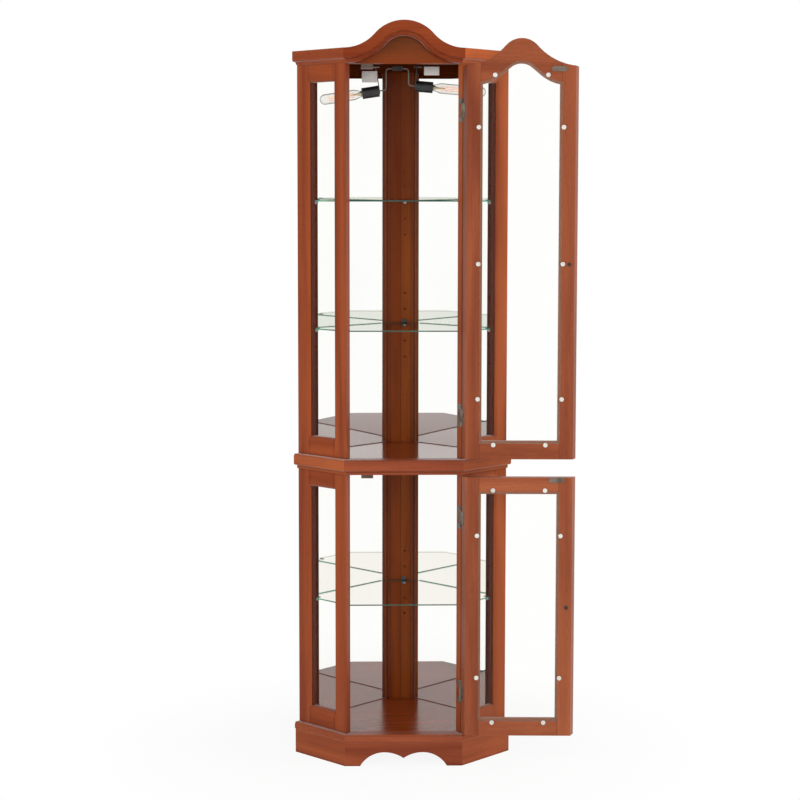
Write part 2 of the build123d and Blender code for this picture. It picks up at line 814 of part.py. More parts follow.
def knob():
    """Turned knob on a door's outer face, with a bore for its screw."""
    crest = knob_reach - knob_crown
    neck_end = crest - knob_bulge
    outline = Polyline((0, 0), (knob_foot, 0), (knob_foot, knob_rim), (knob_neck, 2 * knob_rim), (knob_neck, neck_end))
    bulge = TangentArc((knob_radius, crest), (knob_neck, neck_end), tangent=(0, -1))
    dome = (knob_radius ** 2 + knob_crown ** 2) / 2 / knob_crown
    half = math.asin(knob_radius / dome) / 2
    cap = ThreePointArc((knob_radius, crest), (dome * math.sin(half), knob_reach - dome * (1 - math.cos(half))),
                        (0, knob_reach))
    axis = Line((0, knob_reach), (0, 0))
    face = make_face(list(outline.edges()) + [bulge, cap, axis])
    return Rot(180, 0, 0) * revolve(face, Axis.Y)


def screw(x, z, head_radius, head_height, shank_radius, shank_length):
    """Screw driven from a door's inner face, with its head on that face."""
    head = rod((x, frame_thickness, z), (0, 1, 0), head_radius, head_height)
    slot = block(x - head_radius, x + head_radius, frame_thickness + head_height / 2,
                 frame_thickness + head_height + 1, z - screw_slot / 2, z + screw_slot / 2)
    shank = rod((x, frame_thickness, z), (0, -1, 0), shank_radius, shank_length)
    return (head - slot) + shank


def strike(height):
    """Oval plate for the magnet, on a door's inner face."""
    plate = Plane.XZ * SlotOverall(strike_length, strike_height)
    solid = extrude(plate, amount=strike_thickness, dir=(0, 1, 0))
    return Pos(-strike_from_middle, frame_thickness, height) * solid


def door(level, frame, high, hinges, arch_top):
    timber, pane, bottom, top, corner = frame
    places = button_places(bottom, top, arch_top)
    shanks = [rod((x, frame_thickness + 1, z), (0, -1, 0), button_screw + pin_play, screw_length) for x, z in places]
    knob_x = -door_half + knob_inset
    knob_z = (high + hinges[0] - hinge_inset) / 2
    knob_hole = rod((knob_x, -1, knob_z), (0, 1, 0), knob_screw + pin_play, frame_thickness + 2)
    timber = timber - Compound(shanks) - knob_hole - pilot_holes(hinges, -1, inner_screws)
    rails = door_rail_zone(bottom, top, corner)
    buttons = []
    for x, z in places:
        body = rod((x, frame_thickness, z), (0, 1, 0), button_radius, button_height)
        body = chamfer(body.edges().group_by(Axis.Y)[-1], button_bevel)
        hole = rod((x, frame_thickness - 1, z), (0, 1, 0), button_screw + pin_play, spread)
        seat = (x, frame_thickness + button_height - button_sink, z)
        sink = rod(seat, (0, 1, 0), 2 * button_screw + pin_play, spread)
        head = rod(seat, (0, 1, 0), 2 * button_screw, button_screw_head)
        shank = rod(seat, (0, -1, 0), button_screw, screw_length)
        buttons += [body - hole - sink, head + shank]
    bolt = screw(knob_x, knob_z, knob_screw_head, knob_screw_height, knob_screw, frame_thickness + knob_reach / 2)
    thread = rod((knob_x, 1, knob_z), (0, -1, 0), knob_screw, knob_reach / 2 + 1)
    knob_turned = Pos(knob_x, 0, knob_z) * knob() - thread
    swing = front_place * Pos(axis_x, axis_y, 0) * Rot(0, 0, door_open) * Pos(-axis_x, -axis_y, 0)
    pieces = {
        "stiles": [timber - rails],
        "rails": [timber & rails],
        "glass": [pane],
        "clips": buttons,
        "knob": [knob_turned, bolt],
        "strike": [strike(high - strike_from_top)],
        "hinge_leaves": hinge_set(hinges, [door_leaf()] + leaf_screws(-1, inner_screws)),
    }
    for kind, shapes in pieces.items():
        save(f"{level}_door_{kind}", *[swing * shape for shape in shapes])


def doors():
    door("upper", upper_door_frame(), upper_door_high, upper_hinges, True)
    door("lower", lower_door_frame(), lower_door_high, lower_hinges, False)
    leaves = hinge_set(upper_hinges + lower_hinges, [frame_leaf()] + leaf_screws(1, outer_screws))
    save("hinge_frame_leaves", *[front_place * leaf for leaf in leaves])


def catches():
    """Magnetic catches under both ceilings, facing the strikes."""
    near = frame_thickness + strike_thickness + catch_play
    pieces = []
    for ceiling in (lower_ceiling, upper_ceiling):
        z = ceiling - catch_height
        case = block(-catch_length / 2, catch_length / 2, near, near + catch_depth, z, ceiling)
        case = fillet(case.edges().filter_by(Axis.Z), catch_round)
        low = z + (catch_height - catch_slot) / 2
        end = near + catch_depth - catch_wall
        half = catch_slot_length / 2
        slot = block(-half, half, near - 1, end, low, low + catch_slot)
        magnet = block(-half, half, near + catch_recess, end, low, low + catch_slot)
        pieces += [Pos(-catch_from_middle, 0, 0) * case - Pos(-catch_from_middle, 0, 0) * slot,
                   Pos(-catch_from_middle, 0, 0) * magnet]
    save("magnetic_catches", *[front_place * piece for piece in pieces])


# Lamps, drawn pointing along +X from the inner end of the holder

def lamp_place(end, drop, tilt):
    return Pos(end, lamp_behind_front, upper_ceiling - drop) * Rot(0, tilt, 0)


def lamp(end, drop, tilt, bulb_length):
    """Holder, bulb with its cap, and bracket of one lamp, with its inner end at X = end."""
    place = lamp_place(end, drop, tilt)
    floor = holder_length - bulb_cap
    cup = rod((0, 0, 0), (1, 0, 0), holder_radius, holder_length)
    cup = cup - rod((floor, 0, 0), (1, 0, 0), bulb_cap_radius + pin_play, holder_length)
    cap = rod((floor, 0, 0), (1, 0, 0), bulb_cap_radius, bulb_cap)
    tube = rod((holder_length, 0, 0), (1, 0, 0), bulb_radius, bulb_length - bulb_radius)
    tip = Pos(holder_length + bulb_length - bulb_radius, 0, 0) * Sphere(bulb_radius)
    half_width = bracket_width / 2
    arm = block(-bracket_thickness, 0, -half_width, half_width, -holder_radius / 2, 2 * drop)
    arm = (place * arm) & block(-spread, 2 * front_half, 0, wing_width + spread, 0, upper_ceiling)
    lean = drop * math.tan(math.radians(tilt))
    plate = block(-half_width, half_width, -half_width, half_width, -bracket_thickness, 0)
    arm = arm + Pos(end + lean, lamp_behind_front, upper_ceiling) * plate
    return place * cup, place * cap, place * (tube + tip), arm


def lamp_lead(end, drop, tilt, rose_x):
    """Lead from the ceiling rose, round and down to the bracket behind a holder."""
    seat = lamp_place(end, drop, tilt) * Pos(-bracket_thickness, 0, 0)
    run = (end - rose_x - rose_radius - bracket_thickness) / 2
    bend = seat * Pos(-run, 0, 0)
    high = upper_ceiling - rose_height / 2
    points = [
        (rose_x + rose_radius, lamp_behind_front, high),
        (bend.position.X, lamp_behind_front, high),
        tuple(bend.position),
        tuple(seat.position),
    ]
    path = FilletPolyline(*points, radius=lead_bend * run)
    section = Plane(origin=points[0], z_dir=(1, 0, 0)) * Circle(lead_radius)
    return sweep(section, path=path)


def lamps():
    right_seat = (right_lamp_end, right_lamp_drop, right_lamp_tilt)
    left_seat = (left_lamp_end, left_lamp_drop, left_lamp_tilt)
    right = lamp(*right_seat, right_bulb_length)
    left = [flipped(piece) for piece in lamp(*left_seat, left_bulb_length)]
    pairs = list(zip(left, right))
    save("lamp_sockets", *[front_place * piece for piece in pairs[0]])
    save("lamp_bulbs", *[front_place * piece for pair in pairs[1:3] for piece in pair])
    save("lamp_brackets", *[front_place * piece for piece in pairs[3]])
    rose_x = (right_lamp_end - left_lamp_end) / 2
    middle = front_place * Pos(rose_x, lamp_behind_front, 0)
    bore = Cylinder(grommet_radius - grommet_wall, 2 * crown_height)
    rose = Pos(0, 0, upper_ceiling - rose_height / 2) * Cylinder(rose_radius, rose_height)
    collar = Pos(0, 0, (upper_ceiling + roof_height) / 2) * Cylinder(grommet_radius, roof_height - upper_ceiling)
    rim = Pos(0, 0, roof_height + grommet_wall / 2) * Cylinder(grommet_radius + grommet_wall, grommet_wall)
    save("ceiling_rose", middle * rose)
    grommet = middle * ((collar + rim) - bore)
    left_lead = flipped(lamp_lead(*left_seat, -rose_x))
    right_lead = lamp_lead(*right_seat, rose_x)
    save("lamp_leads", front_place * left_lead, front_place * right_lead, grommet)


os.makedirs("parts", exist_ok=True)
base()
middle()
crown()
back()
shelves()
shelf_pins()
wings()
doors()
catches()
lamps()
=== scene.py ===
import json
import math
import bpy
from mathutils import Matrix, Vector


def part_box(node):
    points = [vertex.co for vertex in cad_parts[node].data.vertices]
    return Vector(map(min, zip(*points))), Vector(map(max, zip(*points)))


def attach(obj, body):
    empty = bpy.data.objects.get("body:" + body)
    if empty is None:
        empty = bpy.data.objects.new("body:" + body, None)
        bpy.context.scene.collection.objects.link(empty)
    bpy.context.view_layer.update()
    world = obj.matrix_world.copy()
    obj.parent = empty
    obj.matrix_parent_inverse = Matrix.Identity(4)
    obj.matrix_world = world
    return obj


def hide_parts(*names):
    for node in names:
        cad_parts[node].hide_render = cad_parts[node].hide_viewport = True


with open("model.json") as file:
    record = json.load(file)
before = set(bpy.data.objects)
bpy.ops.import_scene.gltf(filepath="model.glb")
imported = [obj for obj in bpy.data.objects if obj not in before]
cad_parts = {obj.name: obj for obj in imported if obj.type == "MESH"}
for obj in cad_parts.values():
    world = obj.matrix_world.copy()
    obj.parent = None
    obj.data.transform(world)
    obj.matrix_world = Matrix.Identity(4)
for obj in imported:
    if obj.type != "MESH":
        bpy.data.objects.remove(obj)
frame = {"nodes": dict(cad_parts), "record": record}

bpy.context.scene.view_settings.view_transform = "Standard"
nodes = frame["nodes"]
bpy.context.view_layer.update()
print("frame loaded:", len(nodes), "pieces")


def rgb(red, green, blue):  # a colour as it reads on the screen, made linear
    linear = [((c / 255 + 0.055) / 1.055) ** 2.4 if c > 10 else c / 3294.6 for c in (red, green, blue)]
    return tuple(linear) + (1.0,)


class Wire:  # a socket in a node tree, with arithmetic
    def __init__(self, tree, socket=None):
        self.tree = tree
        self.socket = socket

    def add(self, kind, settings=None, inputs=None, out=0):
        node = self.tree.nodes.new("ShaderNode" + kind)
        for name, value in (settings or {}).items():
            setattr(node, name, value)
        for name, value in (inputs or {}).items():
            if isinstance(value, Wire):
                self.tree.links.new(value.socket, node.inputs[name])
            else:
                node.inputs[name].default_value = value
        return Wire(self.tree, node.outputs[out])

    def maths(self, operation, other=None, first=None, clamp=False):
        values = [self if first is None else first] + ([] if other is None else [other])
        return self.add("Math", {"operation": operation, "use_clamp": clamp}, dict(enumerate(values)))

    def __add__(self, other):
        return self.maths("ADD", other)

    def __radd__(self, other):
        return self.maths("ADD", self, first=other)

    def __sub__(self, other):
        return self.maths("SUBTRACT", other)

    def __rsub__(self, other):
        return self.maths("SUBTRACT", self, first=other)

    def __mul__(self, other):
        return self.maths("MULTIPLY", other)

    def __rmul__(self, other):
        return self.maths("MULTIPLY", self, first=other)

    def __pow__(self, other):
        return self.maths("POWER", other)

    def __abs__(self):
        return self.maths("ABSOLUTE")

    def clamped(self):
        return self.maths("ADD", 0.0, clamp=True)

    def mix(self, first, second):  # colours, this wire being the share of the second
        return self.add("Mix", {"data_type": "RGBA"}, {0: self, 6: first, 7: second}, out=2)

    def steps(self, low, high, least=0.0, most=1.0):  # an eased rise between two values
        return self.add("MapRange", {"interpolation_type": "SMOOTHSTEP"},
                        {0: self, 1: low, 2: high, 3: least, 4: most})

    def axes(self):
        split = self.add("SeparateXYZ", inputs={0: self})
        return [Wire(self.tree, part) for part in split.socket.node.outputs]

    def point(self, x, y, z):
        return self.add("CombineXYZ", inputs={0: x, 1: y, 2: z})

    def noise(self, place, scale, detail=2.0, rough=0.5, bend=0.0):
        return self.add("TexNoise", inputs={"Vector": place, "Scale": scale, "Detail": detail,
                                            "Roughness": rough, "Distortion": bend})

    def bump(self, height, strength, distance):
        return self.add("Bump", inputs={"Height": height, "Strength": strength, "Distance": distance})

    def spot(self):  # the place on the object
        return self.add("TexCoord", out=3)


def newMaterial(name):
    material = bpy.data.materials.new(name)
    material.use_nodes = True
    tree = material.node_tree
    tree.nodes.clear()
    return material, Wire(tree)


def surface(wire, shader, kind="OutputMaterial"):
    out = wire.tree.nodes.new("ShaderNode" + kind)
    wire.tree.links.new(shader.socket, out.inputs[0])


def coat(material, *names):  # a finish onto pieces of the frame
    for name in names:
        slots = nodes[name].data.materials
        for place in range(max(1, len(slots))):
            if place < len(slots):
                slots[place] = material
            else:
                slots.append(material)


def dress(piece, material):  # a finish onto a new piece, which the mirrors leave out
    piece.data.materials.clear()
    piece.data.materials.append(material)
    piece.visible_glossy = False


# Camera and studio

cameraSetup = {"place": (-0.11275, -4.80915, 1.3784), "lens": 83.88, "turn": 0.02321, "dip": 0.09022,
               "roll": 0.00104, "sensor": 36.0, "shift": -0.04, "farthest": 60.0}


def makeCamera(setup):
    bpy.ops.object.select_all(action="DESELECT")
    bpy.ops.object.camera_add(location=setup["place"])
    camera = bpy.context.object
    turn, dip, roll = setup["turn"], setup["dip"], setup["roll"]
    ahead = Vector((math.sin(turn) * math.cos(dip), math.cos(turn) * math.cos(dip), -math.sin(dip)))
    right = Vector((math.cos(turn), -math.sin(turn), 0.0))
    up = right.cross(ahead)
    sideways = right * math.cos(roll) + up * math.sin(roll)
    upwards = up * math.cos(roll) - right * math.sin(roll)
    bearing = Matrix((sideways, upwards, -ahead)).transposed().to_4x4()
    camera.matrix_world = Matrix.Translation(setup["place"]) @ bearing
    camera.data.lens = setup["lens"]
    camera.data.sensor_width = setup["sensor"]
    camera.data.shift_y = setup["shift"]
    camera.data.clip_end = setup["farthest"]
    bpy.context.scene.camera = camera


makeCamera(cameraSetup)

studio = {"ambient": 0.34, "shown": 1.0, "white": (1, 1, 1, 1), "aim": (0.0, -0.2, 0.95),
          "floorSize": 24.0, "floorLow": (0.93, 0.93, 0.93, 1), "floorHigh": (0.95, 0.95, 0.945, 1),
          "shadowForward": 0.2, "shadowReach": 0.3, "shadowFade": 0.9, "floorShare": 0.9,
          "key": {"place": (-3.6, -3.4, 2.6), "size": 2.2, "power": 96.0},
          "fill": {"place": (4.4, -1.0, 2.4), "size": 2.2, "power": 84.0},
          "front": {"place": (0.9, -4.6, 1.7), "size": 2.4, "power": 92.0}}


def seenRays(wire):  # 1 where the eye looks, straight on, in a mirror or through glass
    rays = wire.add("LightPath").socket.node.outputs
    kinds = ("Camera", "Glossy", "Transmission")
    straight, glossy, through = [Wire(wire.tree, rays["Is %s Ray" % kind]) for kind in kinds]
    return straight.maths("MAXIMUM", glossy).maths("MAXIMUM", through)


def makeRoom(setup):  # plain light all round, and white wherever the eye looks past the object
    world = bpy.data.worlds.new("whiteRoom")
    bpy.context.scene.world = world
    world.use_nodes = True
    world.node_tree.nodes.clear()
    wire = Wire(world.node_tree)
    seen = seenRays(wire)
    dim = wire.add("Background", inputs={"Color": setup["white"], "Strength": setup["ambient"]})
    bright = wire.add("Background", inputs={"Color": setup["white"], "Strength": setup["shown"]})
    surface(wire, wire.add("MixShader", inputs={0: seen, 1: dim, 2: bright}), "OutputWorld")


def makeLight(name, lamp, aim):
    bpy.ops.object.light_add(type="AREA", location=lamp["place"])
    light = bpy.context.object
    light.name = name + "Light"
    light.rotation_euler = (Vector(aim) - Vector(lamp["place"])).to_track_quat("-Z", "Y").to_euler()
    light.data.energy = lamp["power"]
    light.data.size = lamp["size"]
    light.visible_glossy = False


def makeFloor(setup):  # pale paint near the cabinet, for its shadow, running out to plain white
    bpy.ops.object.select_all(action="DESELECT")
    bpy.ops.mesh.primitive_plane_add(size=setup["floorSize"], location=(0, 0, 0))
    floor = bpy.context.object
    floor.name = "paleFloor"
    material, wire = newMaterial("paleFloorPaint")
    mottle = wire.noise(wire.spot(), 3.0, 3.0).steps(0.3, 0.7)
    colour = mottle.mix(setup["floorLow"], setup["floorHigh"])
    paint = wire.add("BsdfPrincipled", inputs={"Base Color": colour, "Roughness": 0.9,
                                               "Specular IOR Level": 0.0})
    x, y, z = wire.spot().axes()
    forward = y + setup["shadowForward"]
    reach = (x * x + forward * forward) ** 0.5
    bare = reach.steps(setup["shadowReach"], setup["shadowFade"], setup["floorShare"], 1.0) * seenRays(wire)
    white = wire.add("Emission", inputs={"Color": setup["white"], "Strength": setup["shown"]})
    surface(wire, wire.add("MixShader", inputs={0: bare, 1: paint, 2: white}))
    floor.data.materials.append(material)


makeRoom(studio)
for name in ("key", "fill", "front"):
    makeLight(name, studio[name], studio["aim"])
makeFloor(studio)
print("camera and studio set")

# Cherry stain under gloss lacquer, with painted light and shade

stainAndShade = {"light": rgb(168, 78, 36), "dark": rgb(120, 46, 19), "pore": rgb(70, 23, 10), "poreDepth": 0.55,
         "figure": {"scale": 16.0, "length": 0.07}, "cloud": {"scale": 4.5, "length": 0.5},
         "fibre": {"scale": 420.0, "length": 0.02}, "dashes": {"scale": 1500.0, "length": 0.035},
         "plainness": 0.33, "relief": 0.10, "polishedRelief": 0.006, "reliefDepth": 0.0006,
         "gloss": 0.24, "specular": 0.1, "lacquer": 0.05, "lacquerRough": 0.08,
         "seamWidth": 0.0011, "seamDepth": 0.7, "creviceShadeReach": 0.009, "creviceShadeDepth": 0.55, "edgeShade": 0.85,
         "archShade": rgb(92, 54, 30), "archShadeFrom": 1.705, "archShadeTo": 1.75, "archShadeDepth": 0.55}
# a pane's seat in a door, as depths behind the door's outer face, and the pale colour of a painted highlight
# along it
seatHighlight = {"colour": rgb(184, 134, 106), "front": 0.0145, "back": 0.0196, "soft": 0.0002}
doorHinge = frame["record"]["behaviour"]["joints"][0]["pos_m"]
doorSwing = math.radians(178.0)
hingeStandOff = 0.00277  # hinge axis in front of the door's outer face
slant = 0.7071  # the wings stand at 45 degrees
wingCorner = 0.1497  # a wing's front corner, along the wing's own run


def grainPlace(wire, along):  # the place with the grain's length turned onto Z
    x, y, z = wire.spot().axes()
    if along == "upright":
        return wire.point(x, y, z)
    if along == "across":
        return wire.point(z, y, x)
    side = x.maths("SIGN")  # the two wings get different wood
    reach = (abs(x) + y) * slant + side * 0.37
    depth = (abs(x) - y) * slant
    return wire.point(depth, z + side * 0.13, reach)


def seamPlace(wire, run):  # distance from a wing's front corner, or from the middle of a door or the post
    x, y, z = wire.spot().axes()
    if run == "wing":
        return (abs(x) + y) * slant + wingCorner
    if run == "post":
        return abs(x)
    across = (x - doorHinge[0]) * math.cos(doorSwing) + (y - doorHinge[1]) * math.sin(doorSwing)
    return abs(across + doorHinge[0])


def doorDepth(wire):  # how far a place lies behind a door's outer face
    x, y, z = wire.spot().axes()
    behind = (y - doorHinge[1]) * math.cos(doorSwing) - (x - doorHinge[0]) * math.sin(doorSwing)
    return behind - hingeStandOff


def grained(place, grain, *habit):  # a noise drawn out along the grain
    drawn = place.add("VectorMath", {"operation": "MULTIPLY"}, {0: place, 1: (1.0, 1.0, grain["length"])})
    return place.noise(drawn, grain["scale"], *habit)


def toned(colour, tone):
    return tuple(min(1.0, c * k) for c, k in zip(colour, tone)) + (1.0,)


def cherry(name, board, setup=stainAndShade):
    material, wire = newMaterial(name)
    shine, seed, polished = board["shine"], board["seed"], board["shine"] > 1.0
    place = grainPlace(wire, board["grain"])
    place = wire.add("VectorMath", {"operation": "ADD"}, {0: place, 1: (seed, seed * 1.7, seed * 2.3)})
    figure = grained(place, setup["figure"], 4.0, 0.55, 0.6)
    cloud = grained(place, setup["cloud"], 2.0, 0.5)
    fibre = grained(place, setup["fibre"], 3.0, 0.6)
    dashes = grained(place, setup["dashes"], 1.0, 0.5)
    plain = setup["plainness"] if polished else 0.0  # polished decks show less figure
    shade = (figure * 0.62 + cloud * 0.2 + fibre * 0.18).steps(0.3 - plain, 0.68 + plain)
    pore = dashes.steps(0.60, 0.74) * fibre.steps(0.35, 0.6)
    sides = []
    for tone in (tones[word] for word in board["tones"]):  # left, then right
        wood = shade.mix(toned(setup["dark"], tone), toned(setup["light"], tone))
        sides.append((pore * (setup["poreDepth"] - plain * 1.5)).mix(wood, toned(setup["pore"], tone)))
    # painted light: a board with two tones takes the second on its right-hand side, a lighter or darker copy
    # for how the light falls
    side = wire.spot().axes()[0]
    colour = side.maths("GREATER_THAN", 0.0).mix(*sides)
    for run, reach in board.get("seams", ()):
        line = 1.0 - abs(seamPlace(wire, run) - reach).steps(setup["seamWidth"] * 0.4, setup["seamWidth"])
        colour = (line * setup["seamDepth"]).mix(colour, setup["pore"])
    facing = wire.add("NewGeometry", out=1).axes()
    # painted highlight: the seat's face is turned pale where the pane sits
    if board.get("seatHighlighted"):  # where a door's pane sits, seen through its edge
        depth = doorDepth(wire)
        seat = depth.steps(seatHighlight["front"] - seatHighlight["soft"], seatHighlight["front"])
        seat = seat * (1.0 - depth.steps(seatHighlight["back"], seatHighlight["back"] + seatHighlight["soft"]))
        colour = (seat * abs(facing[1]).steps(0.8, 0.9)).mix(colour, seatHighlight["colour"])
    if board.get("archShade"):  # painted shade: darker towards the arch, standing in for the gloss's reflection
        archShading = wire.spot().axes()[2].steps(setup["archShadeFrom"], setup["archShadeTo"]) * setup["archShadeDepth"]
        colour = archShading.mix(colour, setup["archShade"])
    if board.get("bareAbove"):  # only the underside lies in shade
        colour = facing[2].steps(0.5, 0.9).mix(colour, shade.mix(setup["pore"], setup["dark"]))
    if board.get("shadedEdges"):  # the rear stiles' edges lie in the panes' shade
        inward = (facing[0] * side.maths("SIGN") + facing[1]) * -slant
        colour = (inward.steps(0.95, 0.985) * setup["edgeShade"]).mix(colour, setup["pore"])
    # painted shade: ambient occlusion darkens crevices and joints towards the pore colour
    occlusionShade = wire.add("AmbientOcclusion", {"samples": 6}, {"Distance": setup["creviceShadeReach"]}, out=1)
    colour = occlusionShade.steps(0.35, 0.9, setup["creviceShadeDepth"], 0.0).mix(colour, setup["pore"])
    rough = setup["gloss"] + fibre * 0.10 + cloud * 0.06 - 0.06 * max(0.0, shine - 1.0)
    height = fibre * 0.6 - pore * 0.5 + cloud * 0.8
    relief = setup["polishedRelief"] if polished else setup["relief"]
    shader = wire.add("BsdfPrincipled", inputs={
        "Base Color": colour, "Roughness": rough, "Normal": wire.bump(height, relief, setup["reliefDepth"]),
        "Specular IOR Level": setup["specular"] * shine, "Coat Weight": setup["lacquer"] * shine,
        "Coat Roughness": setup["lacquerRough"]})
    surface(wire, shader)
    return material


# painted light in these tones: right-hand pieces and the base's returns are toned lighter than the left, as
# if lit more from the side; the corner post is toned down as painted shade, its right board less; the roof
# and battens' dark tone is painted shade inside the case
tones = {"red": (0.9, 0.98, 1.08), "bright": (1.08, 1.36, 1.75), "paintedLitReturn": (1.7, 2.1, 2.2),
         "above": (0.8, 1.08, 1.8), "below": (0.96, 1.4, 2.4), "face": (0.74, 0.76, 1.0),
         "base": (0.84, 1.03, 1.7), "deck": (0.66, 0.58, 0.42), "paintedHalfShade": (0.62, 0.78, 0.5),
         "shaded": (0.55, 0.6, 0.4), "arch": (0.62, 0.72, 0.85), "dark": (0.22, 0.22, 0.14)}
wingSeams = (("wing", 0.045), ("wing", 0.129))
doorSeams = (("door", 0.096),)
postSeams = (("post", 0.0256), ("post", 0.0))
boards = {
    "leftStiles": {"grain": "upright", "tones": ("red", "red"), "seed": 0.0, "shine": 1.0,
                   "shadedEdges": True, "nodes": ["upper_left_wing_stiles", "lower_left_wing_stiles"]},
    # painted light: the right-hand stiles are toned lighter than the left
    "rightStiles": {"grain": "upright", "tones": ("bright", "bright"), "seed": 3.1, "shine": 0.3,
                    "shadedEdges": True, "nodes": ["upper_right_wing_stiles", "lower_right_wing_stiles"]},
    "doorStilesAbove": {"grain": "upright", "tones": ("above", "above"), "seed": 5.3, "shine": 1.0,
                        "seatHighlighted": True, "nodes": ["upper_door_stiles"]},
    "doorStilesBelow": {"grain": "upright", "tones": ("below", "below"), "seed": 5.3, "shine": 1.0,
                        "seatHighlighted": True, "nodes": ["lower_door_stiles"]},
    "doorRailsAbove": {"grain": "across", "tones": ("above", "above"), "seed": 1.9, "shine": 1.0,
                       "seams": doorSeams, "seatHighlighted": True, "nodes": ["upper_door_rails"]},
    "doorRailsBelow": {"grain": "across", "tones": ("below", "below"), "seed": 1.9, "shine": 1.0,
                       "seams": doorSeams, "seatHighlighted": True, "nodes": ["lower_door_rails"]},
    # painted light: the right-hand rails are toned lighter than the left
    "wingRails": {"grain": "wing", "tones": ("red", "bright"), "seed": 2.4, "shine": 0.8, "seams": wingSeams,
                  "nodes": ["upper_left_wing_rails", "upper_right_wing_rails",
                            "lower_left_wing_rails", "lower_right_wing_rails"]},
    "crownFace": {"grain": "across", "tones": ("face", "face"), "seed": 0.7, "shine": 0.3,
                  "nodes": ["crown_front"]},
    # painted light: the right-hand return is toned lighter than the left
    "crownReturns": {"grain": "wing", "tones": ("red", "paintedLitReturn"), "seed": 0.9, "shine": 1.0,
                     "nodes": ["crown_sides"]},
    "tympanum": {"grain": "across", "tones": ("arch", "arch"), "seed": 1.3, "shine": 0.3, "archShade": True,
                 "nodes": ["header_panel"]},
    "baseFace": {"grain": "across", "tones": ("base", "base"), "seed": 4.2, "shine": 1.0,
                 "nodes": ["base_moulding_front", "skirt_front", "mid_moulding_front"]},
    # painted light: the returns are toned lighter than the front
    "baseReturns": {"grain": "wing", "tones": ("bright", "bright"), "seed": 6.1, "shine": 1.0,
                    "nodes": ["base_moulding_sides", "skirt_sides", "mid_moulding_sides"]},
    "lowerDeck": {"grain": "across", "tones": ("deck", "deck"), "seed": 7.7, "shine": 2.4,
                  "nodes": ["floor_deck", "base_inner_frame"]},
    "upperDeck": {"grain": "across", "tones": ("deck", "deck"), "seed": 5.9, "shine": 3.6,
                  "nodes": ["mid_deck"]},
    "shadedRoof": {"grain": "across", "tones": ("dark", "dark"), "seed": 2.7, "shine": 0.0,
                   "bareAbove": True, "nodes": ["roof_panel"]},
    # painted shade: the post is toned down, its right board less
    "cornerPost": {"grain": "upright", "tones": ("shaded", "paintedHalfShade"), "seed": 8.8, "shine": 0.7,
                   "seams": postSeams, "nodes": ["corner_post_left", "corner_post_right"]},
    # painted shade: the battens are toned dark inside the case
    "shelfBattens": {"grain": "upright", "tones": ("dark", "dark"), "seed": 9.6, "shine": 0.0,
                     "nodes": ["shelf_battens_left", "shelf_battens_right"]},
}
for name, board in boards.items():
    coat(cherry(name, board), *board["nodes"])
print("timber stained")

# Glass, mirrors and shelves

glazing = {"pane": (0.997, 0.997, 0.993, 1), "gloss": (1, 1, 1, 1), "bend": 1.5, "shine": 0.18,
           "clearance": 0.00008}
shelving = {"tint": (0.965, 0.955, 0.93, 1), "grazed": (0.87, 0.885, 0.85, 1), "edge": rgb(44, 64, 56),
            "edgeLit": rgb(70, 186, 140), "rim": 0.0034, "rimSoft": 0.001, "ends": (0.16, 0.2)}
silvering = {"silver": (0.995, 0.995, 0.985, 1), "dulling": 0.985, "seam": rgb(110, 70, 60),
             "postSeam": 0.0388, "lean": 0.008, "bow": 0.075, "bowTop": 0.98,
             "upperFoot": 0.753, "lowerFoot": 0.077}


def shelfRim(wire, outside, foot, setup):  # the ground edge of a shelf, green where it catches the light
    facing = wire.add("NewGeometry", out=3).axes()
    upright = 1.0 - abs(facing[2]).steps(0.3, 0.6)
    below = wire.spot().axes()[2].steps(foot + setup["rim"], foot + setup["rim"] - setup["rimSoft"])
    wave = wire.noise(wire.spot(), 14.0, 2.0).steps(0.3, 0.8) * 0.15
    ends = abs(wire.spot().axes()[0]).steps(*setup["ends"])
    lit = (wave + facing[1].steps(-0.2, 0.4) * 0.65 + ends * 0.5).clamped()
    solid = wire.add("BsdfPrincipled", inputs={"Base Color": lit.mix(setup["edge"], setup["edgeLit"]),
                                               "Roughness": 0.12, "Specular IOR Level": 0.4})
    return upright * below * (0.3 + outside * 0.7), solid


def paneGlass(name, tint, foot=None):  # a shelf gives its underside's height, and has a green rim
    material, wire = newMaterial(name)
    haze = wire.noise(wire.spot(), 9.0, 3.0).steps(0.45, 0.75)
    clear = wire.add("BsdfTransparent", inputs={"Color": tint})
    gloss = wire.add("BsdfGlossy", {"distribution": "GGX"},
                     {"Color": glazing["gloss"], "Roughness": haze * 0.004})
    outside = 1.0 - wire.add("NewGeometry", out=6)
    shine = wire.add("Fresnel", inputs={"IOR": glazing["bend"]}) * outside
    shine = shine.maths("MULTIPLY", glazing["shine"], clamp=True)
    if foot:
        grazed = wire.add("LayerWeight", inputs={"Blend": 0.5}, out=1).steps(0.8, 0.92)
        deep = wire.add("BsdfTransparent", inputs={"Color": shelving["grazed"]})
        clear = wire.add("MixShader", inputs={0: grazed, 1: clear, 2: deep})
    shader = wire.add("MixShader", inputs={0: shine, 1: clear, 2: gloss})
    if foot:
        rim, solid = shelfRim(wire, outside, foot, shelving)
        shader = wire.add("MixShader", inputs={0: rim, 1: shader, 2: solid})
    surface(wire, shader)
    return material


